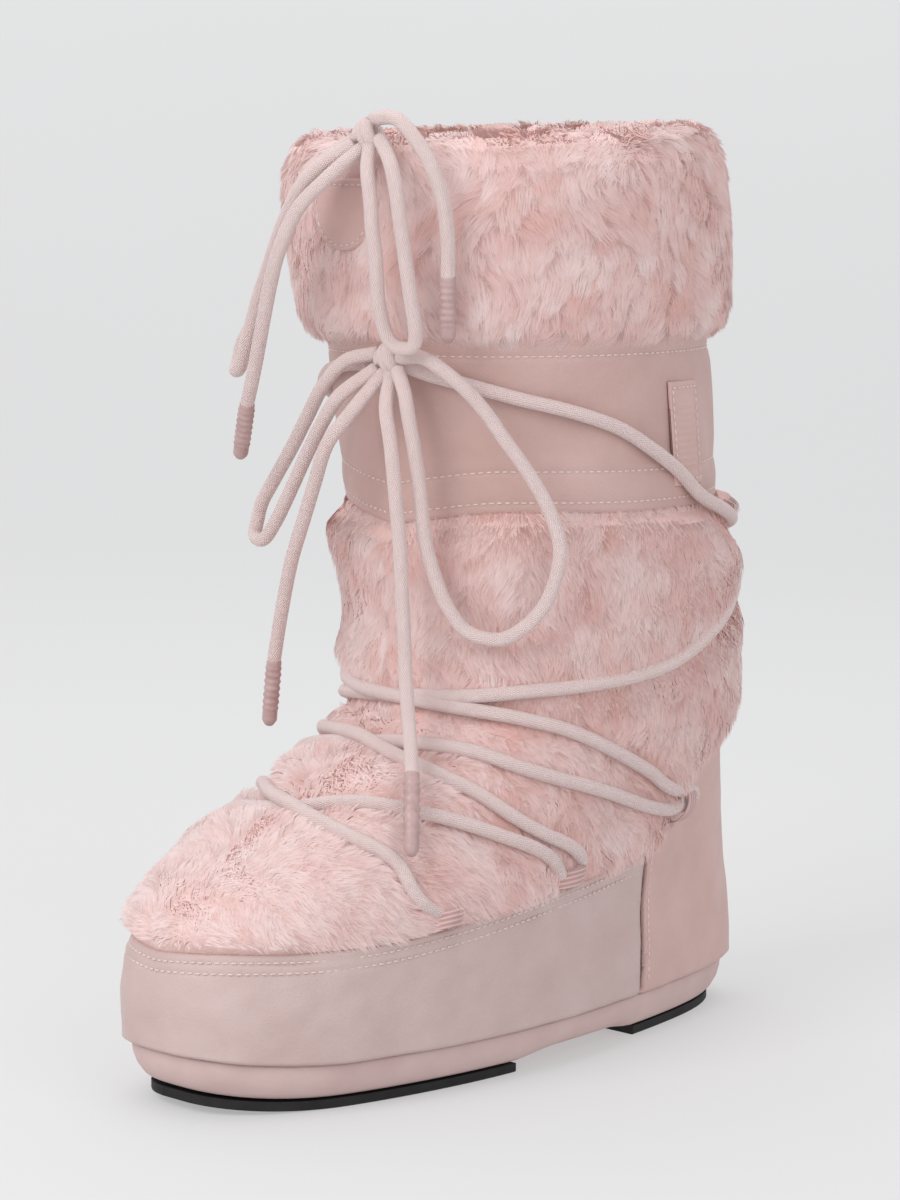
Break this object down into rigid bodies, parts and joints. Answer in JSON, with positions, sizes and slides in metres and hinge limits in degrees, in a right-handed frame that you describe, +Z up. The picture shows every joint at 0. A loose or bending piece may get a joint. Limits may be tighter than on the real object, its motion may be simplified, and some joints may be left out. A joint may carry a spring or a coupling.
{
  "type": "apres ski boot",
  "caption": "Tall round-toed winter boot with fur cuff and vamp, smooth rand, heel counter and gaiter band, cord laces round the ankle and a drawstring at the collar.",
  "frame": {"origin": "middle of the boot's box at the floor", "axes": "+Z up the shaft, toe toward -Y, +X the boot's left side"},
  "size_m": [0.1702, 0.3054, 0.3709],
  "materials": {
    "fur": "deep soft pile",
    "smooth": "smooth, low sheen",
    "sole": "moulded foam, satin",
    "rubber": "matt black rubber",
    "cord": "braided cord",
    "tag": "pressed end tag",
    "lining": "woven lining"
  },
  "bodies": {
    "root": {"cuff_patch": "smooth", "drawstring_end_left": "cord", "drawstring_end_right": "cord", "drawstring_knot": "cord", "drawstring_loop_left": "cord", "drawstring_loop_right": "cord", "drawstring_tag_left": "tag", "drawstring_tag_right": "tag", "fur_cuff": "fur", "fur_lower": "fur", "gaiter_band": "smooth", "heel_counter": "smooth", "insole": "lining", "lace_crossing_instep": "cord", "lace_crossing_toe": "cord", "lace_end_left": "cord", "lace_end_right": "cord", "lace_knot": "cord", "lace_loop_left": "cord", "lace_loop_right": "cord", "lace_tag_left": "tag", "lace_tag_right": "tag", "lace_wrap": "cord", "loop_ankle_left": "cord", "loop_ankle_right": "cord", "loop_instep_left": "cord", "loop_instep_right": "cord", "loop_toe_left": "cord", "loop_toe_right": "cord", "midsole": "sole", "outsole_forefoot": "rubber", "outsole_heel": "rubber", "rand": "smooth", "side_tab_left": "smooth", "side_tab_right": "smooth", "upper": "lining"}
  },
  "joints": []
}
